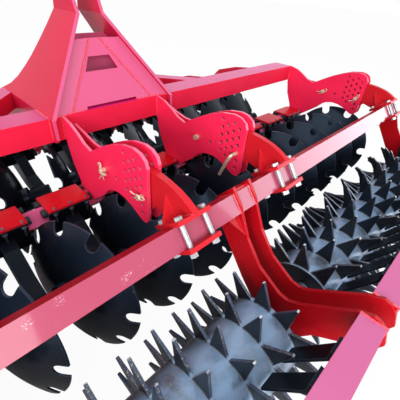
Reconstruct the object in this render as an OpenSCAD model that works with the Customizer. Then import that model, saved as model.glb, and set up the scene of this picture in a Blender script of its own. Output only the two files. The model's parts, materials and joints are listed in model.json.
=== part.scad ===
// Mounted compact disc harrow, 3 m wide: a beam frame, two rows of scalloped discs on rubber-damped arms
// and a tooth packer roller in two halves on an adjustable roller frame.
// Units mm. +X is the machine's right, +Y is the direction of travel, +Z is up. The ground is Z = 0.

/* [Frame] */
// Height of the main beam's top above the ground
beam_top = 745; // [741:1:749]
// Main beam depth from rear face to front face
beam_w = 130; // [120:2:150]
// Main beam height
beam_h = 98; // [90:2:110]
// Half of the main beam's length
beam_half = 1472; // [1465:1:1472]
// Main beam wall
beam_wall = 8; // [5:1:12]
// Side of the square toolbars that carry the arms
bar_s = 70; // [66:1:74]
// Toolbar wall
bar_wall = 8; // [5:1:10]
// Half of the toolbars' length
bar_half = 1538; // [1530:1:1545]
// Rear toolbar axis, back from the main beam's rear face
rear_bar_y = -99; // [-104:1:-94]
// Front toolbar axis, forward of the main beam's rear face
front_bar_y = 580; // [576:1:590]
// Height of both toolbar axes above the ground
bar_z = 394; // [390:1:398]

/* [Depth plates] */
// Plate pair position nearest the middle
pair_in = 240; // [239:1:241]
// Plate pair position at the beam's ends
pair_out = 1500; // [1496:1:1504]
// Thickness of each depth plate
plate_t = 12; // [10:1:15]
// Clear space between the two plates of a pair
pair_gap = 32; // [30:1:36]
// Roller arm pivot, back from the beam's rear face
pivot_y = -298; // [-302:1:-294]
// Roller arm pivot, below the beam's top
pivot_drop = 112; // [108:1:116]
// Radius of the pivot pin
pivot_r = 12.5; // [11:0.5:13]
// Radius of the holes in the grid
grid_r = 8; // [6:0.5:9]
// Row pitch of the hole grid
grid_pitch = 35; // [33:0.5:36]
// Column pitch of the hole grid
grid_step = 29.5; // [28:0.5:30]
// Spare pin hole, back from the beam's rear face
spare_y = -379; // [-384:1:-374]
// Spare pin hole, below the beam's top
spare_drop = 108; // [104:1:112]
// Position pin hole, back from the beam's rear face
lock_y = -530; // [-532:1:-528]
// Position pin hole, below the beam's top
lock_drop = 103; // [102:1:104]

/* [Arms and discs] */
// Disc diameter
disc_d = 540; // [520:5:545]
// Disc steel thickness
disc_t = 6; // [5:0.5:8]
// Radius of the sphere that the disc is pressed from
dish_r = 620; // [580:10:680]
// Radius of each scallop in the disc's edge
notch_r = 24; // [18:1:28]
// Depth of each scallop's centre inside the disc's edge
notch_in = 24; // [15:1:34]
// Number of scallops
notch_n = 10; // [8:1:12]
// Cutting angle of the discs from the direction of travel
cut_deg = 17; // [14:0.5:19]
// Angle that the discs lean over, convex face up
lean_deg = 8; // [5:0.5:10]
// Distance between neighbouring arms
arm_pitch = 250; // [244:1:252]
// Arm width
arm_w = 52; // [48:1:58]
// Hub position behind the toolbar's axis
hub_back = 362; // [358:1:368]
// Distance from the arm's middle to the disc's apex, along the hub
hub_reach = 84; // [80:1:92]
// Shift of the front row's arms against the rear row's
front_shift = 20; // [14:1:26]
// Clamp width along the toolbar
clamp_w = 170; // [160:1:176]
// Radius of the rubber rods in the clamps
rubber_r = 17; // [15:0.5:17.5]

/* [Roller] */
// Side of the square roller beam
rbeam_s = 70; // [66:1:74]
// Roller beam axis, back from the main beam's rear face
rbeam_y = -722; // [-726:1:-718]
// Roller beam axis above the ground
rbeam_z = 608; // [604:1:612]
// Roll of the roller beam about its length
rbeam_roll = 38; // [34:1:42]
// Half of the roller beam's length
rbeam_half = 1570; // [1565:1:1575]
// Roller axis, back from the main beam's rear face
roller_y = -985; // [-990:1:-980]
// Radius over the tooth tips
tip_r = 240; // [232:1:246]
// Radius of the roller's drum
drum_r = 138; // [132:1:146]
// Wall of the roller's drum
drum_t = 8; // [6:1:10]
// Tooth plate thickness
tooth_t = 10; // [8:1:12]
// Turn of the first ring's teeth about the roller's axis
tooth_turn = 21; // [14:1:28]
// Width of a tooth at its foot
tooth_base = 64; // [58:1:66]
// Teeth on one ring
tooth_n = 12; // [10:1:14]
// Distance between tooth rings
ring_pitch = 105; // [100:1:110]
// Gap from the machine's middle to each roller half
roller_gap = 112; // [106:1:118]
// Outer end of each roller half
roller_end = 1512; // [1505:1:1520]
// Scraper bar axis, back from the main beam's rear face
scraper_y = -1233; // [-1238:1:-1228]
// Scraper bar axis, below the main beam's top
scraper_drop = 257; // [252:1:262]
// Width of a scraper blade
blade_w = 58; // [50:1:64]

/* [Hitch] */
// Distance between the middles of the two lower link pins' free lengths
link_span = 825; // [800:5:870]
// Radius of the lower link pins
link_r = 14; // [11:0.5:14]
// Height of the lower link pins above the ground
link_z = 556; // [552:1:560]
// Lower link pins, forward of the main beam's rear face
link_y = 866; // [860:1:872]
// Height of the top link holes above the ground
mast_z = 1166; // [1160:1:1172]
// Top link holes, forward of the main beam's rear face
mast_y = 238; // [232:1:244]
// Radius of the top link holes
mast_r = 12.85; // [11:0.05:13.5]
// Headstock position across the beam
head_x = -15; // [-18:1:-12]

/* [Hidden] */
$fn = 48;
fit = 0.05;
x_mid = -10;
y_mid = 182;
bz0 = beam_top - beam_h;
pair_xs = [-pair_out, -pair_in, pair_in, pair_out];
pair_half = pair_gap / 2 + plate_t;
bracket_xs = [-1230, -730, -230, 260, 770, 1270];
pivot_z = beam_top - pivot_drop;
lock_z = beam_top - lock_drop;
disc_r = disc_d / 2;
sag = dish_r - sqrt(dish_r * dish_r - disc_r * disc_r);
rim_in = dish_r - sqrt(pow(dish_r - disc_t, 2) - disc_r * disc_r);
hub_z = disc_r * cos(lean_deg) + (hub_reach + rim_in) * sin(lean_deg);
roller_z = tip_r;
foot = asin(tooth_base / 2 / (drum_r + 1));
crown = asin(3 / tip_r);
ring_x0 = roller_gap + 8;
ring_last = floor((roller_end - 4 - tooth_t - ring_x0) / ring_pitch);
bar_h = bar_s / sqrt(2);
box_in = max(bar_h + 1, rubber_r * (1 + sqrt(0.5)) + bar_h / 2);
box_wall = 6;
axle_r = 25;
cheek_t = 14;
cheek_out = 303;
cheek_x = cheek_out - cheek_t;
cheek_lean = 35.4;
lean_h = 340;
mast_out = cheek_out - lean_h * tan(cheek_lean);
mast_in = 30;
shy_x = link_span / 2 - 45;
pin_grip = link_r + 4;
tray_y = 12;
tray_run = 0.47;
tray_half = 200;
tray_h = 250;

red = [0.80, 0.05, 0.12];
black = [0.07, 0.07, 0.08];
zinc = [0.80, 0.80, 0.80];
steel = [0.30, 0.33, 0.38];

// row: 1 rear, 2 front. Columns: toolbar y, side that the convex face looks to, shift of the arms
row_tab = [[rear_bar_y, -1, 0], [front_bar_y, 1, front_shift]];

// outline of a depth plate, from the beam's top rear edge, back and down
plate_pts = [[0, 0], [-60, -12], [-112, -36], [-156, -62], [-205, -74], [-255, -43], [-315, -8], [-375, 20],
    [-436, 43], [-495, 53], [-530, 48], [-554, 33], [-564, 10], [-561, -50], [-560, -168], [-556, -194],
    [-543, -208], [-524, -209], [-505, -201], [-466, -182], [-425, -170], [-380, -168], [-340, -178],
    [-300, -202], [-262, -244], [-205, -288], [-156, -326], [-99, -362], [-56, -336], [-56, -300],
    [-66, -278], [-21, -190], [0, -104]];
// front end of a pair's second plate, which has no horn up to the beam's top
short_pts = [[0, -42], [-60, -54], [-112, -66], [-156, -74], [-205, -74]];
second_pts = [for (i = [0 : len(plate_pts) - 1]) i < 5 ? short_pts[i] : plate_pts[i]];

// hole grid of a depth plate: column counted from the tip, rows above the position pin, number of rows
grid_tab = [[0, 3, 6], [1, 3.5, 5], [2, 3, 5], [3, 3.5, 5]];

function arm_x(row, k) = (k - 6.5) * arm_pitch + row_tab[row - 1][2];

module place()
{
    translate([x_mid, y_mid, 0])
        children();
}

// a flat outline in Y and Z, given a thickness t from x towards +X
module side(x, t)
{
    translate([x, 0, 0])
        rotate([90, 0, 90])
            linear_extrude(t)
                children();
}

// a round bar along X
module rod_x(x0, x1, r)
{
    translate([x0, 0, 0])
        rotate([0, 90, 0])
            cylinder(h = x1 - x0, r = r);
}

// a square tube along X, open at both ends
module tube_x(x0, x1, s, wall, roll)
{
    translate([x0, 0, 0])
        rotate([roll, 0, 0])
            rotate([90, 0, 90])
                linear_extrude(x1 - x0)
                    difference()
                    {
                        square(s, center = true);
                        square(s - 2 * wall, center = true);
                    }
}

module main_beam()
{
    color(red)
        place()
            difference()
            {
                translate([-beam_half, 0, bz0])
                    cube([2 * beam_half, beam_w, beam_h]);
                translate([-beam_half - 1, beam_wall, bz0 + beam_wall])
                    cube([2 * beam_half + 2, beam_w - 2 * beam_wall, beam_h - 2 * beam_wall]);
            }
}

module plate_shape(pts)
{
    difference()
    {
        translate([0, beam_top])
            polygon(pts);
        translate([rear_bar_y, bar_z])
            rotate(45)
                square(bar_s, center = true);
        translate([pivot_y, pivot_z])
            circle(r = pivot_r + fit);
        translate([spare_y, beam_top - spare_drop])
            circle(r = grid_r);
        for (g = grid_tab)
            for (i = [0 : g[2] - 1])
                translate([lock_y + g[0] * grid_step, lock_z + (g[1] - i) * grid_pitch])
                    circle(r = grid_r);
    }
}

module depth_plates(x)
{
    color(red)
        place()
        {
            side(x - pair_half, plate_t)
                plate_shape(plate_pts);
            side(x + pair_gap / 2, plate_t)
                plate_shape(second_pts);
        }
}

module plates_far_left() { depth_plates(-pair_out); }
module plates_left() { depth_plates(-pair_in); }
module plates_right() { depth_plates(pair_in); }
module plates_far_right() { depth_plates(pair_out); }

// outline of a headstock cheek seen from the side, from the beam's top rear edge forward
cheek_pts = [[-30, -84], [-30, 0], [187, 462], [204, 474], [274, 474], [290, 464], [318, 400], [331, 340],
    [335, 280], [345, 220], [360, 160], [381, 113], [410, 68], [453, 31], [518, 0], [600, -36], [700, -68],
    [800, -92], [880, -110], [915, -150], [920, -190], [900, -228], [850, -240], [700, -232], [600, -190],
    [480, -178], [200, -178], [134, -150], [134, -98], [130, -98], [130, 0], [0, 0], [0, -98], [-16, -98]];
// section of the folded cheek seen from behind, from the beam's top: upright foot, leaning middle, upright top
fold = cheek_t * tan(cheek_lean / 2);
fold_pts = [[cheek_out, -250], [cheek_out, 0], [mast_out, lean_h], [mast_out, 490], [mast_out - cheek_t, 490],
    [mast_out - cheek_t, lean_h - fold], [cheek_x, -fold], [cheek_x, -250]];

// a flat plate on the base a to b with the side v, its thickness t towards the right of the base
module slab(a, b, v, t)
{
    u = b - a;
    e = u / norm(u);
    n = cross(u, v) / norm(cross(u, v));
    w = cross(n, e);
    multmatrix([[e[0], w[0], n[0], a[0]], [e[1], w[1], n[1], a[1]], [e[2], w[2], n[2], a[2]], [0, 0, 0, 1]])
        translate([0, 0, -t])
            linear_extrude(t)
                polygon([[0, 0], [norm(u), 0], [norm(u) + v * e, v * w], [v * e, v * w]]);
}

module cheek()
{
    difference()
    {
        union()
        {
            intersection()
            {
                side(0, cheek_out + 10)
                    translate([0, beam_top])
                        polygon(cheek_pts);
                translate([0, 930, beam_top])
                    rotate([90, 0, 0])
                        linear_extrude(970)
                            polygon(fold_pts);
            }
            translate([0, link_y, link_z])
                rod_x(cheek_x - 12, shy_x, link_r + 14);
            translate([0, mast_y, mast_z])
                rod_x(mast_in, mast_out + 12, mast_r + 16);
        }
        translate([0, link_y, link_z])
            rod_x(cheek_x - 30, shy_x + 1, pin_grip);
        translate([0, mast_y, mast_z])
            rod_x(mast_in - 1, mast_out + 20, mast_r);
    }
}

// the side of the rear plate that folds back to the cheek
module tray_side()
{
    run = tan(cheek_lean);
    slab([tray_half - 8, tray_y + 2, beam_top], [cheek_x + 1, -8, beam_top],
        [-run * tray_h, tray_run * tray_h, tray_h], 10);
}

module tray_middle()
{
    run = tan(cheek_lean);
    back = atan(tray_run);
    translate([0, tray_y, beam_top])
        rotate([90 - back, 0, 0])
            translate([0, 0, -10])
                linear_extrude(10)
                    difference()
                    {
                        polygon([[-tray_half, 0], [tray_half, 0], [tray_half - run * tray_h, tray_h / cos(back)],
                            [-tray_half + run * tray_h, tray_h / cos(back)]]);
                        translate([-132, -1])
                            square([250, 12]);
                        polygon([[-86, 147], [70, 147], [46, 204], [-54, 204]]);
                    }
}

// the rear plate and its folded sides, cut level with the beam's top
module tray()
{
    difference()
    {
        union()
        {
            for (m = [0, 1])
                mirror([m, 0, 0])
                    tray_side();
            tray_middle();
        }
        translate([-cheek_out, 0, beam_top - 20])
            cube([2 * cheek_out, beam_w, 20]);
    }
}

module headstock()
{
    color(red)
        place()
            translate([head_x, 0, 0])
            {
                for (m = [0, 1])
                    mirror([m, 0, 0])
                        cheek();
                tray();
            }
}

module hitch_pins()
{
    color(zinc)
        place()
            for (m = [0, 1])
                translate([head_x, 0, 0])
                    mirror([m, 0, 0])
                        translate([0, link_y, link_z])
                        {
                            rod_x(cheek_x - 26, shy_x, pin_grip);
                            rod_x(cheek_x - 38, cheek_x - 26, pin_grip + 10);
                            rod_x(shy_x, shy_x + 105, link_r);
                        }
}

module braces()
{
    color(red)
        place()
            translate([head_x, 0, 0])
                for (m = [0, 1])
                    mirror([m, 0, 0])
                        difference()
                        {
                            translate([cheek_out, 520, beam_top - 76])
                                rotate([0, 0, -49])
                                    translate([-80, -70, 0])
                                        cube([700, 70, 76]);
                            translate([-100, -200, beam_top - 600])
                                cube([cheek_out + 100, 1400, 1400]);
                            translate([0, -700, beam_top - 600])
                                cube([2000, 700 + beam_w, 1000]);
                        }
}

module front_bar()
{
    color(red)
        place()
            translate([0, front_bar_y, bar_z])
                tube_x(-bar_half, bar_half, bar_s, bar_wall, 45);
}

module rear_bar()
{
    color(red)
        place()
            translate([0, rear_bar_y, bar_z])
                tube_x(-bar_half, bar_half, bar_s, bar_wall, 45);
}

module front_brackets()
{
    color(red)
        place()
            for (x = bracket_xs)
                side(x - 8, 16)
                    difference()
                    {
                        translate([front_bar_y, 0])
                            polygon([[beam_w - front_bar_y, beam_top - 20], [beam_w - front_bar_y, bz0],
                                [beam_w + 70 - front_bar_y, 590], [-90, 580], [-54, 520], [-54, 400], [-30, 350],
                                [0, bar_z - 70], [30, 350], [70, 400], [70, 470], [20, 560], [-60, 640],
                                [-220, 690]]);
                        translate([front_bar_y, bar_z])
                            rotate(45)
                                square(bar_s, center = true);
                    }
}

module pivot_pins()
{
    color(zinc)
        place()
            for (x = pair_xs)
                translate([0, pivot_y, pivot_z])
                    rod_x(x - pair_half - 16, x + pair_half + 16, pivot_r);
}

module position_pins()
{
    color(zinc)
        place()
            for (x = pair_xs)
                translate([0, lock_y, lock_z])
                    rod_x(x - pair_half - 18, x + pair_half + 18, grid_r - fit);
}

module lids(row)
{
    color(red)
        place()
            for (k = [1 : 12])
                translate([arm_x(row, k) - clamp_w / 2, row_tab[row - 1][0] - box_in - 20, bar_z + box_in])
                    cube([clamp_w, 2 * box_in + 16, 10]);
}

module boxes(row)
{
    color(black)
        place()
            for (k = [1 : 12])
                translate([0, row_tab[row - 1][0], bar_z])
                    side(arm_x(row, k) - clamp_w / 2, clamp_w)
                        polygon([[-box_in - 20, box_in], [-box_in - 20, box_in - 8], [-box_in - box_wall, box_in - 8],
                            [-box_in - box_wall, -box_in - box_wall], [box_in + box_wall, -box_in - box_wall],
                            [box_in + box_wall, box_in], [box_in, box_in], [box_in, -box_in], [-box_in, -box_in],
                            [-box_in, box_in]]);
}

// how far a rubber rod stands out of the clamp's end at x: little beside a depth plate
function stick(row, x) = row == 1 && min([for (p = pair_xs) abs(x - p)]) < pair_half + 20 ? 1 : 18;

module rubbers(row)
{
    q = box_in - rubber_r;
    w = clamp_w / 2;
    color(black)
        place()
            for (k = [1 : 12])
                for (a = [0 : 3])
                    translate([0, row_tab[row - 1][0], bar_z])
                        rotate([90 * a, 0, 0])
                            translate([0, q, q])
                                rod_x(arm_x(row, k) - w - stick(row, arm_x(row, k) - w),
                                    arm_x(row, k) + w + stick(row, arm_x(row, k) + w), rubber_r - 0.2);
}

// leaves the disc's own frame: origin on the hub axis at the arm's middle, +Z towards the disc's concave face
module hub_frame(row, k)
{
    s = row_tab[row - 1][1];
    translate([arm_x(row, k), row_tab[row - 1][0] - hub_back, hub_z])
        rotate([0, 90 + lean_deg, s < 0 ? cut_deg : 180 - cut_deg])
            children();
}

module arms(row)
{
    color(black)
        place()
            for (k = [1 : 12])
                difference()
                {
                    union()
                    {
                        translate([0, row_tab[row - 1][0], 0])
                            side(arm_x(row, k) - arm_w / 2, arm_w)
                                polygon([[-box_in - box_wall, bar_z + 2], [-box_in - box_wall, bar_z - box_in - box_wall],
                                    [0, bar_z - box_in - box_wall], [-10, bar_z - box_in - box_wall - 22],
                                    [-64, bar_z - 104], [-150, bar_z - 138], [-240, bar_z - 152],
                                    [-hub_back - 20, hub_z - 34], [-hub_back - 34, hub_z - 4],
                                    [-hub_back - 20, hub_z + 26], [-300, bar_z - 82], [-215, bar_z - 66],
                                    [-160, bar_z - 30], [-118, bar_z - 2]]);
                        hub_frame(row, k)
                            translate([0, 0, -34])
                                cylinder(h = 92, r = 42);
                    }
                    hub_frame(row, k)
                        translate([0, 0, -12])
                            cylinder(h = 120, r = axle_r + fit);
                }
}

module disc(row, k)
{
    color(black)
        place()
            hub_frame(row, k)
                difference()
                {
                    union()
                    {
                        translate([0, 0, -10])
                            cylinder(h = hub_reach + 12, r = axle_r);
                        translate([0, 0, hub_reach - 20])
                            cylinder(h = 24, r = 58);
                        intersection()
                        {
                            difference()
                            {
                                translate([0, 0, hub_reach + dish_r])
                                    sphere(r = dish_r, $fn = 96);
                                translate([0, 0, hub_reach + dish_r])
                                    sphere(r = dish_r - disc_t, $fn = 96);
                            }
                            translate([0, 0, hub_reach - 1])
                                cylinder(h = sag + 2 * disc_t, r = disc_r, $fn = 96);
                        }
                    }
                    for (i = [0 : notch_n - 1])
                        rotate([0, 0, (i + 0.5) * 360 / notch_n])
                        {
                            translate([disc_r - notch_in, 0, hub_reach - 1])
                                cylinder(h = sag + 4 * disc_t, r = notch_r);
                            translate([disc_r - notch_in, -notch_r, hub_reach - 1])
                                cube([notch_in + 20, 2 * notch_r, sag + 4 * disc_t]);
                        }
                }
}

// outline of a roller arm, from the beam's top rear edge, back and down
arm_pts = [[-268, -128], [-262, -100], [-275, -78], [-330, -58], [-420, -20], [-500, -4], [-584, -3], [-631, -8],
    [-675, -17], [-712, -31], [-751, -52], [-646, -135], [-620, -136], [-600, -130], [-580, -126], [-556, -150],
    [-540, -168], [-470, -162], [-380, -160], [-330, -150]];

// a clamp plate across the roller beam, with its four bolt holes, z0 above the beam's axis
module clamp_plate(x, z0)
{
    translate([0, rbeam_y, rbeam_z])
        rotate([-rbeam_roll, 0, 0])
            difference()
            {
                translate([x - 62, -65, z0])
                    cube([124, 130, 14]);
                for (i = [-1, 1])
                    for (j = [-1, 1])
                        translate([x + i * 45, j * (rbeam_s / 2 + 11), z0 - 1])
                            cylinder(h = 16, r = 8);
            }
}

module roller_arms()
{
    color(red)
        place()
            for (x = pair_xs)
            {
                side(x - 11, 22)
                    difference()
                    {
                        translate([0, beam_top])
                            polygon(arm_pts);
                        translate([pivot_y, pivot_z])
                            circle(r = pivot_r + fit);
                        for (a = [-9 : 1.5 : 11])
                            translate([pivot_y, pivot_z])
                                rotate(a)
                                    translate([lock_y - pivot_y, lock_z - pivot_z])
                                        circle(r = grid_r + 5);
                    }
                clamp_plate(x, rbeam_s / 2);
                translate([x - 10, rbeam_y, rbeam_z])
                    rotate([-rbeam_roll, 0, 0])
                        translate([0, 28, rbeam_s / 2 + 13])
                            rotate([90, 0, 0])
                                linear_extrude(8)
                                    polygon([[0, 0], [-46, 0], [-46, 6], [0, 79]]);
            }
}

module roller_beam()
{
    color(red)
        place()
            translate([0, rbeam_y, rbeam_z])
                tube_x(-rbeam_half, rbeam_half, rbeam_s, 8, -rbeam_roll);
}

module beam_clamps()
{
    color(red)
        place()
            for (x = pair_xs)
                clamp_plate(x, -rbeam_s / 2 - 14);
}

module clamp_bolts()
{
    color(zinc)
        place()
            for (x = pair_xs)
                for (i = [-1, 1])
                    for (j = [-1, 1])
                        translate([0, rbeam_y, rbeam_z])
                            rotate([-rbeam_roll, 0, 0])
                                translate([x + i * 45, j * (rbeam_s / 2 + 11), -rbeam_s / 2 - 30])
                                {
                                    translate([0, 0, 16])
                                        cylinder(h = rbeam_s + 28, r = 8);
                                    cylinder(h = 16, r = 13, $fn = 6);
                                    translate([0, 0, rbeam_s + 44])
                                        cylinder(h = 11, r = 13, $fn = 6);
                                }
}

// outline of a roller hanger, from the beam's top rear edge
hanger_pts = [[-722, -66], [-735, -84], [-760, -115], [-815, -232], [-880, -315], [-942, -352], [-975, -371],
    [-1008, -374], [-1041, -357], [-1149, -268], [-1194, -229], [-1230, -212], [-1252, -219], [-1271, -240],
    [-1284, -281], [-1270, -320], [-1240, -345], [-1120, -440], [-1070, -520], [-1020, -560], [-965, -562],
    [-915, -535], [-880, -480], [-824, -417], [-705, -255], [-660, -180], [-655, -140]];

module hangers()
{
    color(red)
        place()
        {
            for (x = [-rbeam_half - 12, -46, 34, rbeam_half])
                side(x, 12)
                    difference()
                    {
                        translate([0, beam_top])
                            polygon(hanger_pts);
                        translate([rbeam_y, rbeam_z])
                            rotate(-rbeam_roll)
                                square(rbeam_s, center = true);
                        translate([roller_y, roller_z])
                            circle(r = axle_r + fit);
                    }
            translate([0, rbeam_y, rbeam_z])
                rotate([-rbeam_roll, 0, 0])
                {
                    translate([-36, -30, rbeam_s / 2])
                        cube([72, 52, 10]);
                    translate([-45, -7, -rbeam_s / 2])
                        rotate([90, 0, 0])
                            linear_extrude(8)
                                polygon([[0, 0], [-46, 0], [-46, -7], [0, -80]]);
                }
        }
}

module scraper_bars()
{
    color(red)
        place()
            for (m = [0, 1])
                mirror([m, 0, 0])
                    translate([0, scraper_y, beam_top - scraper_drop])
                        tube_x(46, rbeam_half, rbeam_s, 6, 0);
}

// outline of a scraper blade: a flat foot on the bar's forward face, then down to the drum
face_y = scraper_y + rbeam_s / 2;
face_z = beam_top - scraper_drop;
blade_pts = [[face_y, face_z + 28], [face_y + 8, face_z + 28], [face_y + 8, face_z - 4],
    [roller_y + (drum_r + 9) * cos(141), roller_z + (drum_r + 9) * sin(141)],
    [roller_y + (drum_r + 10) * cos(144.2), roller_z + (drum_r + 10) * sin(144.2)], [face_y, face_z - 8]];

module scrapers()
{
    color(black)
        place()
            for (m = [0, 1])
                mirror([m, 0, 0])
                    for (i = [0 : ring_last - 1])
                        side(ring_x0 + (i + 0.5) * ring_pitch + (tooth_t - blade_w) / 2, blade_w)
                            polygon(blade_pts);
}

// one ring of teeth, a flat star square to the roller's axis
module ring(x, turn)
{
    side(x, tooth_t)
        difference()
        {
            polygon([for (i = [0 : tooth_n - 1])
                for (c = [[drum_r + 1, -foot], [tip_r, -crown], [tip_r, crown], [drum_r + 1, foot]])
                    let (a = turn + i * 360 / tooth_n + c[1])
                        [c[0] * cos(a), c[0] * sin(a)]]);
            circle(r = drum_r - 3);
        }
}

module roller(m)
{
    color(steel)
        place()
            translate([0, roller_y, roller_z])
                mirror([m, 0, 0])
                {
                    difference()
                    {
                        rod_x(roller_gap, roller_end, drum_r);
                        rod_x(roller_gap - 1, roller_gap + 50, drum_r - drum_t);
                        rod_x(roller_gap + 62, roller_end - 62, drum_r - drum_t);
                        rod_x(roller_end - 50, roller_end + 1, drum_r - drum_t);
                    }
                    rod_x(36, roller_gap + 62, axle_r);
                    rod_x(roller_end - 62, rbeam_half + 10, axle_r);
                    for (i = [0 : ring_last])
                        ring(ring_x0 + i * ring_pitch, tooth_turn + i % 2 * 180 / tooth_n);
                }
}

module front_lids() { lids(2); }
module front_boxes() { boxes(2); }
module front_rubbers() { rubbers(2); }
module front_arms() { arms(2); }
module rear_lids() { lids(1); }
module rear_boxes() { boxes(1); }
module rear_rubbers() { rubbers(1); }
module rear_arms() { arms(1); }
module roller_left() { roller(1); }
module roller_right() { roller(0); }
module disc_f1() { disc(2, 1); }
module disc_r1() { disc(1, 1); }
module disc_f2() { disc(2, 2); }
module disc_r2() { disc(1, 2); }
module disc_f3() { disc(2, 3); }
module disc_r3() { disc(1, 3); }
module disc_f4() { disc(2, 4); }
module disc_r4() { disc(1, 4); }
module disc_f5() { disc(2, 5); }
module disc_r5() { disc(1, 5); }
module disc_f6() { disc(2, 6); }
module disc_r6() { disc(1, 6); }
module disc_f7() { disc(2, 7); }
module disc_r7() { disc(1, 7); }
module disc_f8() { disc(2, 8); }
module disc_r8() { disc(1, 8); }
module disc_f9() { disc(2, 9); }
module disc_r9() { disc(1, 9); }
module disc_f10() { disc(2, 10); }
module disc_r10() { disc(1, 10); }
module disc_f11() { disc(2, 11); }
module disc_r11() { disc(1, 11); }
module disc_f12() { disc(2, 12); }
module disc_r12() { disc(1, 12); }

main_beam();
headstock();
hitch_pins();
braces();
front_bar();
rear_bar();
front_brackets();
plates_far_left();
plates_left();
plates_right();
plates_far_right();
pivot_pins();
position_pins();
front_lids();
front_boxes();
front_rubbers();
front_arms();
rear_lids();
rear_boxes();
rear_rubbers();
rear_arms();
disc_f1();
disc_f2();
disc_f3();
disc_f4();
disc_f5();
disc_f6();
disc_f7();
disc_f8();
disc_f9();
disc_f10();
disc_f11();
disc_f12();
disc_r1();
disc_r2();
disc_r3();
disc_r4();
disc_r5();
disc_r6();
disc_r7();
disc_r8();
disc_r9();
disc_r10();
disc_r11();
disc_r12();
roller_beam();
roller_arms();
beam_clamps();
clamp_bolts();
hangers();
scraper_bars();
scrapers();
roller_left();
roller_right();
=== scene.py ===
"""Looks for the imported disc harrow: paint, zinc, rubber, welds, bolts and clips on the frame."""

import json
import math
from collections import namedtuple

import bmesh
import bpy
from mathutils import Matrix, Vector


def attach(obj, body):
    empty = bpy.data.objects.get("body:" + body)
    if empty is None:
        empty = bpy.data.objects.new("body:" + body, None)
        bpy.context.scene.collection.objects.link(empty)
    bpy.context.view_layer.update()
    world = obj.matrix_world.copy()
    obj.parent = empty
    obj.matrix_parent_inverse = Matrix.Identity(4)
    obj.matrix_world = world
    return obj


bl_info = {
    "name": "Disc harrow looks",
    "version": (1, 0, 0),
    "blender": (4, 5, 0),
    "location": "View3D > Sidebar > Harrow",
    "description": "Paint, fasteners, clips and welds for a mounted disc harrow",
    "category": "Object",
}

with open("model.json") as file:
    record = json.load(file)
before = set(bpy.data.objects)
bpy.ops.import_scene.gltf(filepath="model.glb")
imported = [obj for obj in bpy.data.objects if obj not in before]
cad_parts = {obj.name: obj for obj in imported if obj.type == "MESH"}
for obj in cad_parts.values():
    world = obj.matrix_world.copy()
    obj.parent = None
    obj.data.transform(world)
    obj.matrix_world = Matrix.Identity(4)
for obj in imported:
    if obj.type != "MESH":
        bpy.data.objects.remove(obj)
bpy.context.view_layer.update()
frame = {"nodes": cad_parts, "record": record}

# The CAD part's own places, in metres, with the main beam's rear face at Y 0 and the ground at Z 0.
# A pair of numbers is a Y and a Z. SHIFT takes such a place to the shared frame.
SHIFT = Vector((-0.010, 0.182, 0.0))

# Main beam, and the beads down its rear face beside the depth plates and the headstock's cheeks
BEAM_TOP = 0.745
BEAM_H = 0.098
PLATE_BEAD_Z = (BEAM_TOP - BEAM_H + 0.004, BEAM_TOP - 0.006)
CHEEK_BEAD_Z = (BEAM_TOP - 0.004, BEAM_TOP - 0.084)
CHEEK_BEAD_Y = (0.003, 0.127)

# Headstock: X of its middle, and how far its rear plate rises, leans forward and narrows a side
HEAD_X = -0.015
HEAD_RISE = 0.250
HEAD_LEAN = 0.1175
HEAD_NARROW = 0.1777
HEAD_FOOT_Y = 0.010
STRIP_FOOT_Y = -0.008
# From the headstock's middle: the folded strip's inner and outer edges, and the cheek's outer face
STRIP_IN = 0.200
STRIP_OUT = 0.290
CHEEK_OUT = 0.303
# From the headstock's middle: the two parts of the rear plate's foot beside its slot
FOOT_RUNS = ((-STRIP_IN, -0.140), (0.125, STRIP_IN))
# The web: its half widths at the foot and the top, its foot's Y, and its thickness as a vector
WEB_LOW_HALF = 0.284
WEB_TOP_HALF = 0.106
WEB_FOOT_Y = 0.120
WEB_THICK = Vector((0, -0.0072, 0.0034))

# Depth plates: X of each pair, its plates' outer and inner faces from there, and its two pins
PLATE_PAIRS = (-1.5, -0.24, 0.24, 1.5)
PLATE_OUT = 0.028
PLATE_IN = 0.016
# The right plate of a pair meets the beam lower down than the left one, and its bead stops there
SHORT_PLATE_Z = 0.700
PIVOT = (-0.298, 0.633)
LOCK = (-0.530, 0.642)

# The discs' lean, and the angle at which they cut
LEAN = math.radians(8)
CUT = math.radians(17)
# A row: its toolbar's Y, the turn of its discs about Z, and its arms' shift along X
Row = namedtuple("Row", "y turn shift")
ROWS = {"rear": Row(-0.099, CUT, 0.0), "front": Row(0.580, math.pi - CUT, 0.020)}
ARMS = 12
ARM_PITCH = 0.25
# The toolbars' middle, their half diagonal, and half the height and depth inside a clamp box
BAR_Z = 0.394
BAR_CORNER = 0.0495
BOX_HALF = 0.05377
# A hub's distance behind its toolbar, and its height
HUB_BACK = 0.362
HUB_Z = 0.2886

# Packer roller: its axis, the radii of its drum and of its teeth's tips, and its teeth
ROLLER = (-0.985, 0.240)
DRUM_R = 0.138
TIP_R = 0.240
TEETH = 12
TOOTH_T = 0.010
TOOTH_FOOT_HALF = 0.030
FIRST_TOOTH_DEG = 21
# The rings of teeth on each half, counted from the middle, with every second one turned
RINGS = 14
RING_X0 = 0.120
RING_PITCH = 0.105
RING_STAGGER_DEG = 15

# Roller frame: its beam, its scraper bars, and the half width of both tubes
RBEAM = (-0.722, 0.608)
RBEAM_ROLL = math.radians(38)
RBEAM_HALF = 1.570
SCRAPER = (-1.233, 0.488)
TUBE_HALF = 0.035
# X of the middle hangers' outer and inner faces, on either side
HANGER_OUT = 0.046
HANGER_IN = 0.034
# Half a roller arm's thickness, and the ends of the bead beside it along the top clamp plate
ARM_HALF = 0.011
CLAMP_BEAD = ((-0.748, BEAM_TOP - 0.0535), (-0.649, BEAM_TOP - 0.132))


# Shader maths


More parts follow.
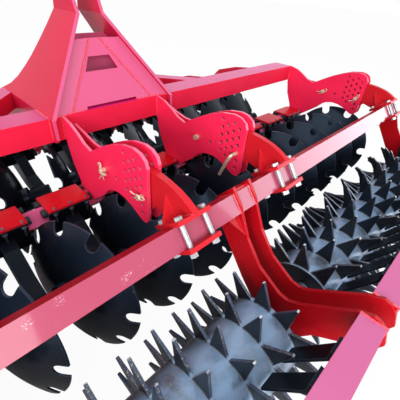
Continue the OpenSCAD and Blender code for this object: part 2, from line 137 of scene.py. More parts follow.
class Wire:
    """A socket that adds Math nodes when it is used in an expression. a | b is the larger."""

    def __init__(self, book, socket):
        self.book = book
        self.socket = socket

    def _op(self, kind, a, b):
        return self.book.node("ShaderNodeMath", {"operation": kind}, {0: a, 1: b})

    def __add__(self, other):
        return self._op("ADD", self, other)

    __radd__ = __add__

    def __sub__(self, other):
        return self._op("SUBTRACT", self, other)

    def __rsub__(self, other):
        return self._op("SUBTRACT", other, self)

    def __mul__(self, other):
        return self._op("MULTIPLY", self, other)

    __rmul__ = __mul__

    def __or__(self, other):
        return self._op("MAXIMUM", self, other)

    __ror__ = __or__

    def between(self, low, high):
        """0 below low and 1 above high, with a smooth step between them."""
        return self.book.node(
            "ShaderNodeMapRange",
            {"interpolation_type": "SMOOTHSTEP"},
            {"Value": self, "From Min": low, "From Max": high},
        )

    def above(self, edge, soft):
        """0 below the edge and 1 above it, with a soft step."""
        return self.between(edge - soft, edge + soft)


# A colour Mix node's sockets have the same names as its number sockets, so they go by number
MIX_FACTOR, MIX_LOW, MIX_HIGH, MIX_OUT = 0, 6, 7, 2


class Book:
    """The node tree of a material or a world, with one method that adds any node."""

    def __init__(self, owner):
        self.owner = owner
        owner.use_nodes = True
        self.tree = owner.node_tree
        self.tree.nodes.clear()

    def node(self, kind, settings=None, values=None, out=0):
        """Add a node: its settings first, then the values or links of its sockets."""
        made = self.tree.nodes.new(kind)
        for key, value in (settings or {}).items():
            setattr(made, key, value)
        for key, value in (values or {}).items():
            socket = made.inputs[key]
            if isinstance(value, Wire):
                self.tree.links.new(value.socket, socket)
            else:
                socket.default_value = value
        return Wire(self, made.outputs[out]) if len(made.outputs) else None

    def vector(self, kind, a, b, out="Value"):
        """Vector Math, which gives a number unless out says Vector."""
        return self.node("ShaderNodeVectorMath", {"operation": kind}, {0: a, 1: b}, out=out)

    def noise(self, size, detail=3.0, rough=0.5, stretch=(1, 1, 1)):
        """Noise on Object coordinates, with features of about this size."""
        spot = self.node("ShaderNodeTexCoord", out="Object")
        place = self.node("ShaderNodeMapping", None, {"Vector": spot, "Scale": stretch})
        return self.node(
            "ShaderNodeTexNoise",
            None,
            {"Vector": place, "Scale": 1.0 / size, "Detail": detail, "Roughness": rough},
        )

    def mix(self, mask, low, high):
        """The colour low where the mask is 0, and high where it is 1."""
        return self.node(
            "ShaderNodeMix",
            {"data_type": "RGBA", "clamp_factor": True},
            {MIX_FACTOR: mask, MIX_LOW: low, MIX_HIGH: high},
            out=MIX_OUT,
        )

    def rounded(self, radius, samples=6):
        """The surface's normal, rounded over sharp edges."""
        return self.node("ShaderNodeBevel", {"samples": samples}, {"Radius": radius})

    def edges(self, radius, gain):
        """1 along sharp edges and 0 on flat faces."""
        flat = self.node("ShaderNodeNewGeometry", out="Normal")
        return (1 - self.vector("DOT_PRODUCT", self.rounded(radius), flat)) * gain

    def facing(self, way):
        """How far the surface looks along a direction of the object's own frame."""
        normal = self.node("ShaderNodeTexCoord", out="Normal")
        return self.vector("DOT_PRODUCT", normal, way)

    def apart(self, spot):
        """Distance from a place on the object."""
        here = self.node("ShaderNodeTexCoord", out="Object")
        return self.vector("DISTANCE", here, spot)

    def reach(self, y, z):
        """Distance from an axis along X."""
        here = self.node("ShaderNodeTexCoord", out="Object")
        flat = self.vector("MULTIPLY", here, (0, 1, 1), out="Vector")
        return self.vector("DISTANCE", flat, (0, y, z))

    def bump(self, height, strength, depth, normal=None):
        """A fine relief of the given depth, on the normal that is given."""
        values = {"Strength": strength, "Distance": depth, "Height": height}
        if normal is not None:
            values["Normal"] = normal
        return self.node("ShaderNodeBump", None, values)

    def principled(self, values):
        """The usual shader, from the values or links of its sockets."""
        return self.node("ShaderNodeBsdfPrincipled", None, values)

    def blend(self, mask, low, high):
        """The shader low where the mask is 0, and high where it is 1."""
        return self.node("ShaderNodeMixShader", None, {0: mask, 1: low, 2: high})

    def finish(self, shader, kind="ShaderNodeOutputMaterial"):
        """Join the shader to the tree's output."""
        self.node(kind, None, {"Surface": shader})


def new_book(name):
    """The empty node tree of a new material."""
    return Book(bpy.data.materials.new(name))


def hue(colour):
    """The colour with full alpha, as a node takes it."""
    return (*colour, 1.0)


def deeper(colour, share):
    """The colour made darker, as a node's colour."""
    return hue(tuple(part * share for part in colour))


# Finishes

# Upwards and a little to the rear: the faces that catch the sky's light, where a sky sheen is
# painted
SKYWARD = (0, -0.35, 0.94)
# The painted steel's corners look rounded to this radius
CORNER_R = 0.0022

RED_ROUGH = 0.34
# Painted highlights: pale colours painted along the red paint's sharp edges, where the corners
# catch the light
RED_EDGE_GLINT = (0.82, 0.07, 0.12)
DEEP_RED_EDGE_GLINT = (0.66, 0.02, 0.04)
SCUFF = (0.85, 0.62, 0.70)
RED_SPECK = (0.88, 0.55, 0.58)
SCRATCH = (0.92, 0.55, 0.60)
# Painted shade inside a bored plate's holes: its colour in the paint, the matt dark shade laid over
# it, and the walls' distance
BORE_PAINTED_SHADE = (0.02, 0.001, 0.002)
BORE_SHADE = (0.020, 0.002, 0.003)
BORE_REACH = 0.014

BLACK_DUST = (0.16, 0.15, 0.14)
BLACK_GLINT = (0.50, 0.72, 1.0, 1.0)

RUBBER = (0.010, 0.013, 0.019)
RUBBER_PALE = (0.030, 0.036, 0.048)
RUBBER_WORN = (0.10, 0.12, 0.15)

# Roller colours: the sky sheen, the flat-face shade, the blade sheen, the edge highlight and the
# tip's highlight are painted light; soil and dust are real
SLATE_SKY_SHEEN = (0.27, 0.42, 0.63)
TOOTH_FLANK_SHADE = (0.006, 0.008, 0.012)
TOOTH_BLADE_SHEEN = (0.05, 0.07, 0.12)
TOOTH_EDGE_GLINT = (0.12, 0.15, 0.20)
BARE_TIP_GLINT = (0.62, 0.63, 0.66)
SOIL = (0.50, 0.42, 0.27)
SOIL_DUST = (0.22, 0.18, 0.14)
SLATE_GLINT = (0.62, 0.80, 1.0, 1.0)

# A painted sky reflection, a pale sheen: its colour, the way that the sheened faces look, and where
# it starts and is full
PaintedSheen = namedtuple("PaintedSheen", "colour way low high")


def red_paint(name, colour, painted_sheen, coat, edge=RED_EDGE_GLINT, bored=False, scuffs=()):
    """Sprayed red: cloudy tone, a painted sky reflection (a pale sheen) on faces that look one way,
    painted highlights along the edges, and specks.

    A bored plate gets painted shade inside its holes, and a scuff is a small pale mark at a place.
    """
    book = new_book(name)
    cloud = book.noise(0.30, rough=0.55)
    base = book.mix((cloud - 0.35) * 2.2, deeper(colour, 0.86), hue(colour))
    # Painted reflection: a pale sheen of sky light is painted into the colour on faces that look
    # the given way
    sheen_mask = book.facing(painted_sheen.way).between(painted_sheen.low, painted_sheen.high)
    sheen_mask = sheen_mask * (book.noise(0.6, detail=2.0) * 0.35 + 0.80)
    # Painted highlight: the sharp edges are painted pale
    rim_glint = book.edges(0.0035, gain=1.7)
    if bored:
        # Painted shade: where walls stand near, as inside a hole, the paint is darkened
        open_air = book.node(
            "ShaderNodeAmbientOcclusion",
            {"samples": 6, "only_local": True},
            {"Distance": BORE_REACH},
            out="AO",
        ).between(0.45, 0.80)
        sheen_mask = sheen_mask * open_air
        rim_glint = rim_glint * open_air
        base = book.mix(open_air, hue(BORE_PAINTED_SHADE), base)
    base = book.mix(sheen_mask, base, hue(painted_sheen.colour))
    base = book.mix(rim_glint, base, hue(edge))
    for spot in scuffs:
        near = 1 - book.apart(spot).between(0.004, 0.016)
        marks = book.noise(0.0035, detail=2.0).above(0.60, soft=0.03)
        base = book.mix(near * marks * 0.5, base, hue(SCUFF))
    patch = book.noise(0.30, detail=2.0).above(0.53, soft=0.05)
    speck = book.noise(0.006, detail=4.0, rough=0.65).above(0.69, soft=0.025) * patch
    base = book.mix(speck * 0.6, base, hue(RED_SPECK))
    lines = book.noise(0.005, detail=2.0, stretch=(0.05, 0.6, 1.0)).above(0.77, soft=0.02)
    scratch = lines * book.noise(0.22, detail=1.0).above(0.60, soft=0.05)
    base = book.mix(scratch * 0.5, base, hue(SCRATCH))
    peel = book.noise(0.004, detail=2.0)
    shader = book.principled({
        "Base Color": base,
        "Roughness": cloud * 0.14 + (RED_ROUGH - 0.07) + speck * 0.2,
        "Specular IOR Level": 0.14,
        "Coat Weight": sheen_mask * coat + 0.03,
        "Coat Roughness": 0.07,
        "Normal": book.bump(peel, 0.22, 0.0004, book.rounded(CORNER_R)),
    })
    # Painted shade: a matt dark shader laid over the holes' insides
    if bored:
        shade = book.principled(
            {"Base Color": hue(BORE_SHADE), "Roughness": 1.0, "Specular IOR Level": 0.0}
        )
        shader = book.blend(open_air, shade, shader)
    book.finish(shader)


def dark_paint(name, colour, painted_sky_sheen, edge, rough, coat, level, dust):
    """Sprayed black with a faint blue sky sheen painted on upward faces, painted highlights along
    the edges, and a little dust.
    """
    book = new_book(name)
    cloud = book.noise(0.25, rough=0.55)
    base = book.mix((cloud - 0.3) * 1.8, deeper(colour, 0.6), hue(colour))
    # Painted highlight: a faint blue sky sheen painted on upward faces
    base = book.mix(book.facing(SKYWARD).between(0.15, 0.95) * 0.9, base, hue(painted_sky_sheen))
    # Painted highlight: pale edges
    base = book.mix(book.edges(0.003, gain=1.5), base, hue(edge))
    patch = book.noise(0.3, detail=2.0).above(0.54, soft=0.07)
    speck = book.noise(0.009, detail=4.0, rough=0.65).above(0.69, soft=0.03) * patch
    base = book.mix(speck * dust, base, hue(BLACK_DUST))
    book.finish(book.principled({
        "Base Color": base,
        "Roughness": cloud * 0.16 + (rough - 0.08) + speck * 0.25,
        "Specular IOR Level": level,
        "Specular Tint": BLACK_GLINT,
        "Coat Weight": coat,
        "Coat Roughness": 0.10,
        "Normal": book.bump(book.noise(0.005), 0.25, 0.0005, book.rounded(CORNER_R)),
    }))


def zinc_plate(name, colour, pale, rough):
    """Zinc plating with a mottled tone and light tarnish."""
    book = new_book(name)
    mottle = book.noise(0.008, detail=4.0, rough=0.6)
    book.finish(book.principled({
        "Base Color": book.mix((mottle - 0.35) * 2.2, hue(colour), hue(pale)),
        "Metallic": 0.75,
        "Roughness": mottle * 0.25 + rough,
        "Normal": book.bump(mottle, 0.2, 0.0002, book.rounded(0.001, samples=4)),
    }))


def black_rubber(name):
    """Moulded rubber, grey where it rubs."""
    book = new_book(name)
    grey = book.noise(0.02, detail=4.0, rough=0.6)
    base = book.mix((grey - 0.4) * 2.0, hue(RUBBER), hue(RUBBER_PALE))
    base = book.mix(book.edges(0.003, gain=1.4), base, hue(RUBBER_WORN))
    book.finish(book.principled({
        "Base Color": base,
        "Roughness": grey * 0.2 + 0.48,
        "Specular IOR Level": 0.35,
        "Normal": book.bump(book.noise(0.003), 0.3, 0.0004),
    }))


def soil_paint(name, slate):
    """The roller's slate paint with painted light: a bluish sky sheen on upward faces, shade on the
    teeth's flat faces, a sheen on their narrow edges, highlights along edges, pale tips that are
    bare and also a painted highlight, and tan soil specks.
    """
    book = new_book(name)
    cloud = book.noise(0.10, detail=4.0, rough=0.6)
    base = book.mix((cloud - 0.3) * 1.9, deeper(slate, 0.55), hue(slate))
    # Painted highlight: a bluish sky sheen painted on the drum's upward faces
    painted_sky_sheen = book.facing(SKYWARD).between(0.10, 0.92)
    painted_sky_sheen = painted_sky_sheen * book.noise(0.11, detail=4.0, rough=0.6).between(0.24, 0.54)
    base = book.mix(painted_sky_sheen, base, hue(SLATE_SKY_SHEEN))
    flank = book.facing((1, 0, 0))
    flat = (flank * flank).above(0.5, soft=0.1)
    # Painted shade: the teeth's flat faces are painted near black
    base = book.mix(flat, base, hue(TOOTH_FLANK_SHADE))
    reach = book.reach(ROLLER[0] + SHIFT.y, ROLLER[1])
    # Painted sheen: a bluish sky sheen painted on the teeth's narrow faces above the drum
    blade_sheen = reach.above(DRUM_R + 0.006, soft=0.003) * (1 - flat)
    base = book.mix(blade_sheen, base, hue(TOOTH_BLADE_SHEEN))
    # Painted highlight along the teeth's sharp edges
    base = book.mix(book.edges(0.0022, gain=1.3), base, hue(TOOTH_EDGE_GLINT))
    # Pale tips: bare worn steel, and also a painted highlight on the blunt tips
    ragged = book.noise(0.03, rough=0.6) * 0.012
    worn_tip_glint = (reach + ragged).above(TIP_R + 0.0055, soft=0.0012)
    base = book.mix(worn_tip_glint, base, hue(BARE_TIP_GLINT))
    patch = book.noise(0.22).above(0.47, soft=0.08)
    speck = book.noise(0.005, detail=5.0, rough=0.7).above(0.59, soft=0.02) * patch
    base = book.mix(speck * (0.85 - flat * 0.7), base, hue(SOIL))
    dust = book.noise(0.05, detail=5.0, rough=0.7).above(0.60, soft=0.10) * patch
    base = book.mix(dust * (0.26 - flat * 0.22), base, hue(SOIL_DUST))
    book.finish(book.principled({
        "Base Color": base,
        "Roughness": cloud * 0.22 + 0.20 + speck * 0.3,
        "Specular IOR Level": 0.4,
        "Specular Tint": SLATE_GLINT,
        "Coat Weight": (1 - flat) * 0.35,
        "Coat Roughness": 0.15,
        "Normal": book.bump(book.noise(0.006), 0.35, 0.0006, book.rounded(0.0018)),
    }))


def weld_metal(name, colour, pale):
    """A painted weld bead with its ripples."""
    book = new_book(name)
    ripple = book.noise(0.006, detail=2.0)
    book.finish(book.principled({
        "Base Color": book.mix((ripple - 0.35) * 2.4, hue(colour), hue(pale)),
        "Roughness": ripple * 0.2 + 0.25,
        "Coat Weight": 0.4,
        "Normal": book.bump(ripple, 0.8, 0.0015),
    }))


# Mesh helpers

# A hexagon's corner radius over its width across the flats, and the same for its chamfered top
HEX_CORNER = 0.577
HEX_CHAMFER = 0.49
# The plain part of a bolt head's height, under the chamfer
HEAD_PLAIN = 0.78
WASHER_T = 0.003
PIECE_SHARP_DEG = 35.0
WELD_SHARP_DEG = 60.0


def at(x, y, z):
    """A place of the CAD part in the shared frame."""
    return SHIFT + Vector((x, y, z))


def turn_to(axis):
    """The turn that takes +Z to the axis."""
    return Vector((0, 0, 1)).rotation_difference(axis).to_matrix().to_4x4()


def rod(bm, start, axis, length, radius, end_radius=None, sides=20):
    """A round or many-sided rod from start along the axis, tapered if it has an end radius."""
    axis = Vector(axis).normalized()
    bmesh.ops.create_cone(
        bm,
        cap_ends=True,
        segments=sides,
        radius1=radius,
        radius2=radius if end_radius is None else end_radius,
        depth=length,
        matrix=Matrix.Translation(Vector(start) + axis * length / 2) @ turn_to(axis),
    )


def bolt(bm, seat, axis, width, height, washer_radius=0.0):
    """A hexagon head on its washer, from the seat outwards. width is across the flats."""
    axis = Vector(axis).normalized()
    start = Vector(seat)
    if washer_radius:
        rod(bm, start, axis, WASHER_T, washer_radius)
        start = start + axis * WASHER_T
    plain = height * HEAD_PLAIN
    corner = width * HEX_CORNER
    rod(bm, start, axis, plain, corner, sides=6)
    rod(bm, start + axis * plain, axis, height - plain, corner, width * HEX_CHAMFER, sides=6)


def add_mesh(bm, mesh):
    """Put a mesh that nothing else needs into the bmesh."""
    bm.from_mesh(mesh)
    bpy.data.meshes.remove(mesh)


def tube(bm, points, radius):
    """A bent wire or rod that follows four points or more, from a curve."""
    curve = bpy.data.curves.new("tube", "CURVE")
    curve.dimensions = "3D"
    curve.bevel_depth = radius
    curve.bevel_resolution = 3
    curve.resolution_u = 6
    curve.use_fill_caps = True
    spline = curve.splines.new("NURBS")
    spline.points.add(len(points) - 1)
    for point, place in zip(spline.points, points):
        point.co = (*place, 1.0)
    spline.order_u = 3
    spline.use_endpoint_u = True
    holder = bpy.data.objects.new("tube", curve)
    bpy.context.scene.collection.objects.link(holder)
    shaped = holder.evaluated_get(bpy.context.evaluated_depsgraph_get())
    add_mesh(bm, bpy.data.meshes.new_from_object(shaped))
    bpy.data.objects.remove(holder)
    bpy.data.curves.remove(curve)


def new_object(name, bm, material):
    """An object of the scene from a bmesh, which is used up."""
    mesh = bpy.data.meshes.new(name)
    bm.to_mesh(mesh)
    bm.free()
    mesh.materials.append(material)
    made = bpy.data.objects.new(name, mesh)
    bpy.context.scene.collection.objects.link(made)
    return made


def piece(name, bm, material, body, sharp=PIECE_SHARP_DEG):
    """A finished piece from a bmesh, riding on its body."""
    bmesh.ops.remove_doubles(bm, verts=bm.verts, dist=1e-6)
    bmesh.ops.recalc_face_normals(bm, faces=bm.faces)
    made = new_object(name, bm, material)
    for face in made.data.polygons:
        face.use_smooth = True
    made.data.set_sharp_from_angle(angle=math.radians(sharp))
    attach(made, body)


def arm_x(row, k):
    """X of a row's arm, counted from 1 at the left end."""
    return (k - (ARMS + 1) / 2) * ARM_PITCH + ROWS[row].shift


def hub_matrix(row, k):
    """The disc's own frame, as in the CAD source: +Z towards the concave face."""
    spot = at(arm_x(row, k), ROWS[row].y - HUB_BACK, HUB_Z)
    turn = Matrix.Rotation(ROWS[row].turn, 4, "Z") @ Matrix.Rotation(math.pi / 2 + LEAN, 4, "Y")
    return Matrix.Translation(spot) @ turn


# Properties


def paint_colour(name, description, default):
    return bpy.props.FloatVectorProperty(
        name=name,
        description=description,
        subtype="COLOR",
        size=3,
        min=0,
        max=1,
        default=default,
    )


def small_size(name, description, default):
    return bpy.props.FloatProperty(
        name=name, description=description, unit="LENGTH", default=default
    )


class HarrowFinish(bpy.types.PropertyGroup):
    """Colours of the harrow's finishes."""

    beam: paint_colour("Beam red", "Main beam, braces and brackets", (0.800, 0.016, 0.058))
    # Painted light: the plate red is a brighter copy of the beam red, standing in for more light on
    # the plates
    plate: paint_colour("Plate red", "Depth plates", (0.930, 0.022, 0.088))
    arm: paint_colour("Arm red", "Roller arms and beam clamps", (0.560, 0.012, 0.020))
    lid: paint_colour("Lid red", "Clamp lids", (0.620, 0.006, 0.015))
    black: paint_colour("Black paint", "Arms, boxes, blades and hub bolts", (0.004, 0.005, 0.008))
    disc: paint_colour("Disc black", "Scalloped discs", (0.004, 0.005, 0.008))
    slate: paint_colour("Slate paint", "Packer roller", (0.090, 0.086, 0.094))


class HarrowSizes(bpy.types.PropertyGroup):
    """Sizes of the harrow's small fasteners."""

    lid_bolt: small_size("Lid bolt", "Width of the lid bolts across the flats", 0.016)
    clip_wire: small_size("Clip wire", "Radius of the spring clips' wire", 0.0022)
    bead: small_size("Weld bead", "Radius of the weld beads", 0.0030)


# Places of the pale scuffs on the roller beam's rear face, in the shared frame
SCUFFS = (
    (-0.709, -0.559, 0.641),
    (-0.641, -0.554, 0.647),
    (-0.497, -0.576, 0.619),
    (-0.480, -0.572, 0.625),
)


def make_reds(look):
    """The reds of the painted frame, each with its painted sky reflection (a pale sheen on faces
    that look one way) and its clear coat.
    """
    up = (0, 0, 1)
    red_paint(
        "beam_red", look.beam,
        PaintedSheen((0.64, 0.012, 0.165), up, 0.70, 0.95), coat=0.10,
    )
    red_paint(
        "bar_red", look.beam,
        PaintedSheen((0.64, 0.09, 0.24), (0, -0.707, 0.707), 0.75, 0.97), coat=0.20,
    )
    # Painted shade: the headstock's red is a darker copy of the beam red
    red_paint(
        "headstock_red_shaded", (0.62, 0.010, 0.052),
        PaintedSheen((0.60, 0.10, 0.22), (0, -0.9, 0.42), 0.75, 0.97), coat=0.08,
    )
    # Painted light: the plates get a brighter copy of the frame's red
    red_paint(
        "plate_red_lit", look.plate,
        PaintedSheen((0.88, 0.14, 0.24), (0, -0.5, 0.86), 0.30, 0.90), coat=0.30, bored=True,
    )
    red_paint(
        "lid_red", look.lid,
        PaintedSheen((0.62, 0.003, 0.012), up, 0.50, 0.90), coat=0.0,
    )
    red_paint(
        "arm_red", look.arm,
        PaintedSheen((0.62, 0.012, 0.024), (0, -0.5, 0.86), 0.35, 0.92), coat=0.12, edge=DEEP_RED_EDGE_GLINT,
    )
    # Painted shade: the hangers' red is a darker copy of the arm red
    red_paint(
        "hanger_red_shaded", (0.43, 0.003, 0.008),
        PaintedSheen((0.50, 0.008, 0.015), (0, -0.6, 0.8), 0.35, 0.92), coat=0.12, edge=DEEP_RED_EDGE_GLINT,
    )
    red_paint(
        "roller_beam_red", (0.40, 0.004, 0.014),
        PaintedSheen((0.41, 0.056, 0.114), (0, -0.788, 0.616), 0.80, 0.97), coat=0.88, scuffs=SCUFFS,
    )
    red_paint(
        "scraper_red", (0.50, 0.004, 0.012),
        PaintedSheen((0.60, 0.14, 0.31), up, 0.80, 0.97), coat=0.20,
    )


def harrow_materials():
    """The finishes, made once and then found by name."""
    if "beam_red" in bpy.data.materials:
        return bpy.data.materials
    look = bpy.context.scene.harrow_finish
    make_reds(look)
    # The second colour of each black is a painted blue sky sheen, and its edge colour a painted
    # highlight
    dark_paint(
        "black_gloss", look.black, painted_sky_sheen=(0.006, 0.008, 0.013), edge=(0.13, 0.17, 0.25),
        rough=0.40, coat=0.03, level=0.10, dust=0.25,
    )
    dark_paint(
        "disc_gloss", look.disc, painted_sky_sheen=(0.014, 0.023, 0.040), edge=(0.17, 0.23, 0.33),
        rough=0.22, coat=0.0, level=0.26, dust=0.35,
    )
    soil_paint("roller_slate", look.slate)
    black_rubber("rod_rubber")
    zinc_plate("zinc_bright", (0.34, 0.35, 0.36), (0.54, 0.54, 0.54), rough=0.34)
    zinc_plate("zinc_gold", (0.62, 0.54, 0.38), (0.84, 0.77, 0.62), rough=0.42)
    zinc_plate("zinc_blue", (0.13, 0.16, 0.22), (0.34, 0.38, 0.46), rough=0.26)
    zinc_plate("thread_grey", (0.04, 0.045, 0.06), (0.11, 0.12, 0.15), rough=0.40)
    weld_metal("weld_red", (0.66, 0.014, 0.030), (0.85, 0.12, 0.16))
    weld_metal("weld_slate", (0.07, 0.085, 0.11), (0.24, 0.23, 0.22))
    return bpy.data.materials


# The finish of a CAD node, by its own name or else by its material slot
NODE_FINISH = {
    "main_beam": "beam_red",
    "braces": "beam_red",
    "front_brackets": "beam_red",
    "front_bar": "bar_red",
    "rear_bar": "bar_red",
    "headstock": "headstock_red_shaded",
    "front_lids": "lid_red",
    "rear_lids": "lid_red",
    "roller_beam": "roller_beam_red",
    "roller_arms": "arm_red",
    "beam_clamps": "arm_red",
    "hangers": "hanger_red_shaded",
    "scraper_bars": "scraper_red",
    "pivot_pins": "zinc_gold",
    "position_pins": "zinc_gold",
}
SLOT_FINISH = {
    "red_paint": "plate_red_lit",
    "black_paint": "black_gloss",
    "disc_steel": "disc_gloss",
    "roller_steel": "roller_slate",
    "rubber": "rod_rubber",
    "zinc": "zinc_bright",
}


# Operators


class HARROW_OT_paint(bpy.types.Operator):
    """Give every CAD piece its finish"""

    bl_idname = "harrow.paint"
    bl_label = "Paint the frame"

    def execute(self, context):
        looks = harrow_materials()
        for part in frame["record"]["subparts"]:
            node = frame["nodes"][part["node"]]
            finish = NODE_FINISH.get(part["node"], SLOT_FINISH[part["material_slot"]])
            node.data.materials.clear()
            node.data.materials.append(looks[finish])
        return {"FINISHED"}


MM = 0.001

# Plate pair, pin, and the turn of its spring clip in degrees
CLIPS = (
    (0, PIVOT, 95),
    (0, LOCK, 20),
    (1, PIVOT, 95),
    (1, LOCK, 20),
    (3, PIVOT, 35),
    (3, LOCK, 60),
)
# The clip's wire in its own plane, in millimetres: straight leg, loop, waved leg
CLIP_PATH = (
    (-34, -5), (-10, -4), (12, -4), (28, -6), (36, 0), (30, 9),
    (18, 6), (6, 8), (-4, 13), (-14, 6), (-26, 10), (-36, 20),
)
# Each next point of the wire lies in the next of three layers, which keeps its passes apart
CLIP_LAYERS = 3
CLIP_LAYER_T = 0.003
# How far outside the plate's outer face each thing starts
CLIP_OUT = 0.011
PIN_END_OUT = 0.013
TAIL_OUT = 0.014
HANDLE_OUT = 0.016
# The pin ends' length, and their radius at the plate and at the tip
PIN_END = (0.006, 0.0105, 0.0090)
# The pivot pins' short bent tails at two pairs, from the plate outwards
TAIL_PAIRS = (0, 1)
TAIL_R = 0.0048
TAIL_PATH = (
    (0, 0, 0), (-0.006, -0.004, 0), (-0.008, -0.022, 0.003), (-0.006, -0.042, 0.007),
)
# The bent handle of one position pin, from the plate outwards and down
HANDLE_PAIR = 2
HANDLE_R = 0.0068
HANDLE_PATH = (
    (0, 0, 0), (-0.010, 0, 0.001), (-0.020, 0.001, -0.003),
    (-0.024, 0.010, -0.022), (-0.024, 0.028, -0.066), (-0.024, 0.046, -0.108),
)


def beside_plate(pair, out, pin):
    """A place on a pin's axis, outside the left plate of its pair."""
    return at(PLATE_PAIRS[pair] - PLATE_OUT - out, *pin)


class HARROW_OT_clips(bpy.types.Operator):
    """Put the spring clips, the pin ends and the bent handle on the depth plates' pins"""

    bl_idname = "harrow.clips"
    bl_label = "Pin clips and handle"

    def execute(self, context):
        looks = harrow_materials()
        wire = context.scene.harrow_sizes.clip_wire
        bm = bmesh.new()
        for pair, pin, degrees in CLIPS:
            base = beside_plate(pair, CLIP_OUT, pin)
            c, s = math.cos(math.radians(degrees)), math.sin(math.radians(degrees))
            path = []
            for i, (u, v) in enumerate(CLIP_PATH):
                layer = -CLIP_LAYER_T * (i % CLIP_LAYERS)
                path.append(base + Vector((layer, (-u * c + v * s) * MM, (u * s + v * c) * MM)))
            tube(bm, path, wire)
        for pair in TAIL_PAIRS:
            base = beside_plate(pair, TAIL_OUT, PIVOT)
            tube(bm, [base + Vector(step) for step in TAIL_PATH], TAIL_R)
        base = beside_plate(HANDLE_PAIR, HANDLE_OUT, LOCK)
        tube(bm, [base + Vector(step) for step in HANDLE_PATH], HANDLE_R)
        for pair, pin, _ in CLIPS:
            rod(bm, beside_plate(pair, PIN_END_OUT, pin), (-1, 0, 0), *PIN_END)
        piece("pin_clips", bm, looks["zinc_gold"], "frame")
        return {"FINISHED"}


# The lid bolts' places along the lid, and how far they stand to the rear of the box's wall
LID_BOLTS_X = (-0.060, 0.005, 0.070)
LID_BOLT_OUT = 0.013
# From the level of the box's top: up to where the bolt's end starts, and down to where the nut sits
LID_UP = 0.010
LID_DOWN = 0.008
# The bolt's end: its length, and its radius at the lid and at the tip
LID_END = (0.0065, 0.0056, 0.0046)
LID_NUT_H = 0.011
LID_WASHER_R = 0.011
THREAD_LENGTH = 0.046
THREAD_R = 0.0044


class HARROW_OT_lid_bolts(bpy.types.Operator):
    """Bolt the clamp lids to their boxes, with nuts and bare threads below the flange"""

    bl_idname = "harrow.lid_bolts"
    bl_label = "Lid bolts"

    def execute(self, context):
        looks = harrow_materials()
        width = context.scene.harrow_sizes.lid_bolt
        up, down = Vector((0, 0, 1)), Vector((0, 0, -1))
        for row, place in ROWS.items():
            bolts = bmesh.new()
            threads = bmesh.new()
            for k in range(1, ARMS + 1):
                for along in LID_BOLTS_X:
                    x = arm_x(row, k) + along
                    seat = at(x, place.y - BOX_HALF - LID_BOLT_OUT, BAR_Z + BOX_HALF)
                    below = seat + down * LID_DOWN
                    rod(bolts, seat + up * LID_UP, up, *LID_END, sides=12)
                    bolt(bolts, below, down, width, LID_NUT_H, LID_WASHER_R)
                    rod(threads, below, down, THREAD_LENGTH, THREAD_R, sides=10)
            piece(f"{row}_lid_bolts", bolts, looks["zinc_blue"], "frame")
            piece(f"{row}_lid_threads", threads, looks["thread_grey"], "frame")
        return {"FINISHED"}


# Shares of the usual bead's radius
SCRAPER_BEAD = 1.2
TOOTH_BEAD = 0.8
# How far a tooth's bead has its middle above the drum
TOOTH_BEAD_UP = 0.0005


def seam(bm, a, b, radius):
    """A straight weld bead between two places of the CAD part."""
    a, b = at(*a), at(*b)
    rod(bm, a, b - a, (b - a).length, radius, sides=7)


def on_roller_beam(x, y, z):
    """A place in the roller beam's own turned section, as a place of the CAD part."""
    c, s = math.cos(RBEAM_ROLL), math.sin(RBEAM_ROLL)
    return (x, RBEAM[0] + y * c + z * s, RBEAM[1] - y * s + z * c)


def plate_seams(bm, r):
    """The beads of the depth plates on the main beam and the rear toolbar."""
    bar_y = ROWS["rear"].y
    low, high = PLATE_BEAD_Z
    short = SHORT_PLATE_Z
    faces = ((-PLATE_OUT, high), (-PLATE_IN, high), (PLATE_IN, short), (PLATE_OUT, short))
    for middle in PLATE_PAIRS:
        for across, top in faces:
            x = middle + across
            seam(bm, (x, 0, low), (x, 0, top), r)
            seam(bm, (x, bar_y - BAR_CORNER, BAR_Z), (x, bar_y, BAR_Z + BAR_CORNER), r)


def headstock_seams(bm, r):
    """The beads of the headstock's rear plate, folded strips and cheeks on the main beam."""
    high = BEAM_TOP + HEAD_RISE
    for side in (-1, 1):
        inner, outer = HEAD_X + STRIP_IN * side, HEAD_X + STRIP_OUT * side
        cheek = HEAD_X + CHEEK_OUT * side
        for x, y in ((inner, HEAD_FOOT_Y), (outer, -HEAD_FOOT_Y)):
            seam(bm, (x, y, BEAM_TOP), (x - HEAD_NARROW * side, y + HEAD_LEAN, high), r)
        seam(bm, (inner, HEAD_FOOT_Y, BEAM_TOP), (outer, STRIP_FOOT_Y, BEAM_TOP), r)
        seam(bm, *((cheek, y, BEAM_TOP) for y in CHEEK_BEAD_Y), r)
        seam(bm, *((cheek, 0, z) for z in CHEEK_BEAD_Z), r)
    for run in FOOT_RUNS:
        seam(bm, *((HEAD_X + x, HEAD_FOOT_Y, BEAM_TOP) for x in run), r)


def roller_frame_seams(bm, r):
    """The beads of the roller arms, the roller beam and the scraper bars."""
    for middle in PLATE_PAIRS:
        for across in (-ARM_HALF, ARM_HALF):
            seam(bm, *((middle + across, *end) for end in CLAMP_BEAD), r)
    half = TUBE_HALF
    hangers = (-HANGER_OUT, -HANGER_IN, HANGER_IN, HANGER_OUT)
    for x in (-RBEAM_HALF, *hangers, RBEAM_HALF):
        upper = on_roller_beam(x, -half, half)
        seam(bm, on_roller_beam(x, -half, -half), upper, r)
        seam(bm, upper, on_roller_beam(x, half, half), r)
    y, z = SCRAPER
    for x in (-HANGER_OUT, HANGER_OUT):
        upper = (x, y - half, z + half)
        seam(bm, upper, (x, y + half, z + half), r * SCRAPER_BEAD)
        seam(bm, (x, y - half, z - half), upper, r * SCRAPER_BEAD)


